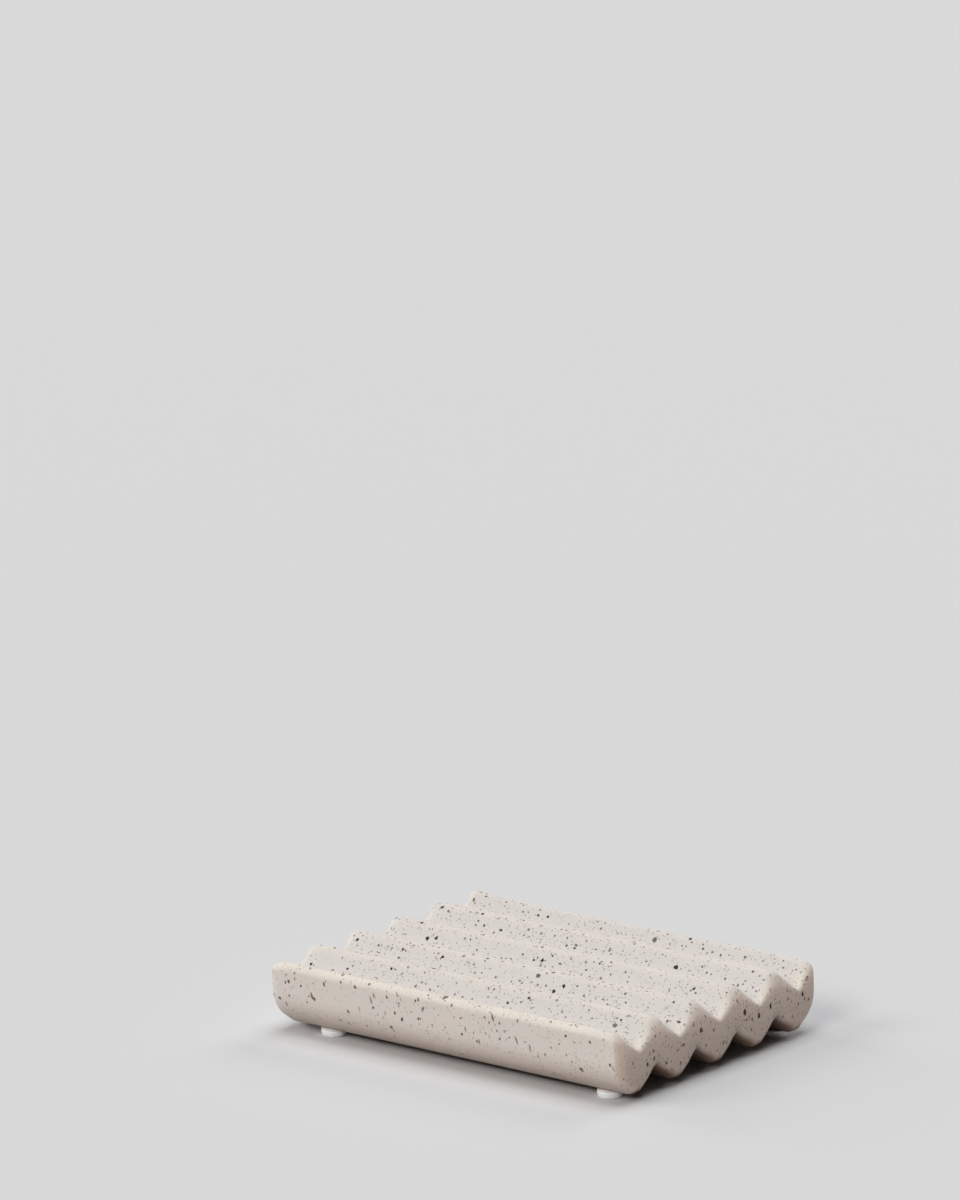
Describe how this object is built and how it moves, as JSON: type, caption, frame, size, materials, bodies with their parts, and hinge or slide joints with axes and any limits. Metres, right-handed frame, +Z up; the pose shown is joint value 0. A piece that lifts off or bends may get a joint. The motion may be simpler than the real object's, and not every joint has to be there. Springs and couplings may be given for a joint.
{
  "type": "soap dish",
  "caption": "Free-standing speckled ceramic soap dish, folded into a zig-zag of crests and drainage grooves, on stick-on bumper feet.",
  "frame": {"origin": "centre of the bounding box at the level of the surface the feet stand on", "axes": "+X along the crests towards the right end, +Y across the folds towards the back wall, +Z up"},
  "size_m": [0.13, 0.1, 0.0232],
  "materials": {
    "speckled_glaze": "satin-matt warm off-white glaze with fine brown and grey speckles",
    "white_silicone": "smooth translucent white silicone",
    "adhesive_film": "clear to milky acrylic adhesive film"
  },
  "bodies": {
    "root": {"dish_body": "speckled_glaze", "foot_front_left": "white_silicone", "foot_front_right": "white_silicone", "foot_back_left": "white_silicone", "foot_back_right": "white_silicone", "foot_adhesive_front_left": "adhesive_film", "foot_adhesive_front_right": "adhesive_film", "foot_adhesive_back_left": "adhesive_film", "foot_adhesive_back_right": "adhesive_film"}
  },
  "joints": []
}
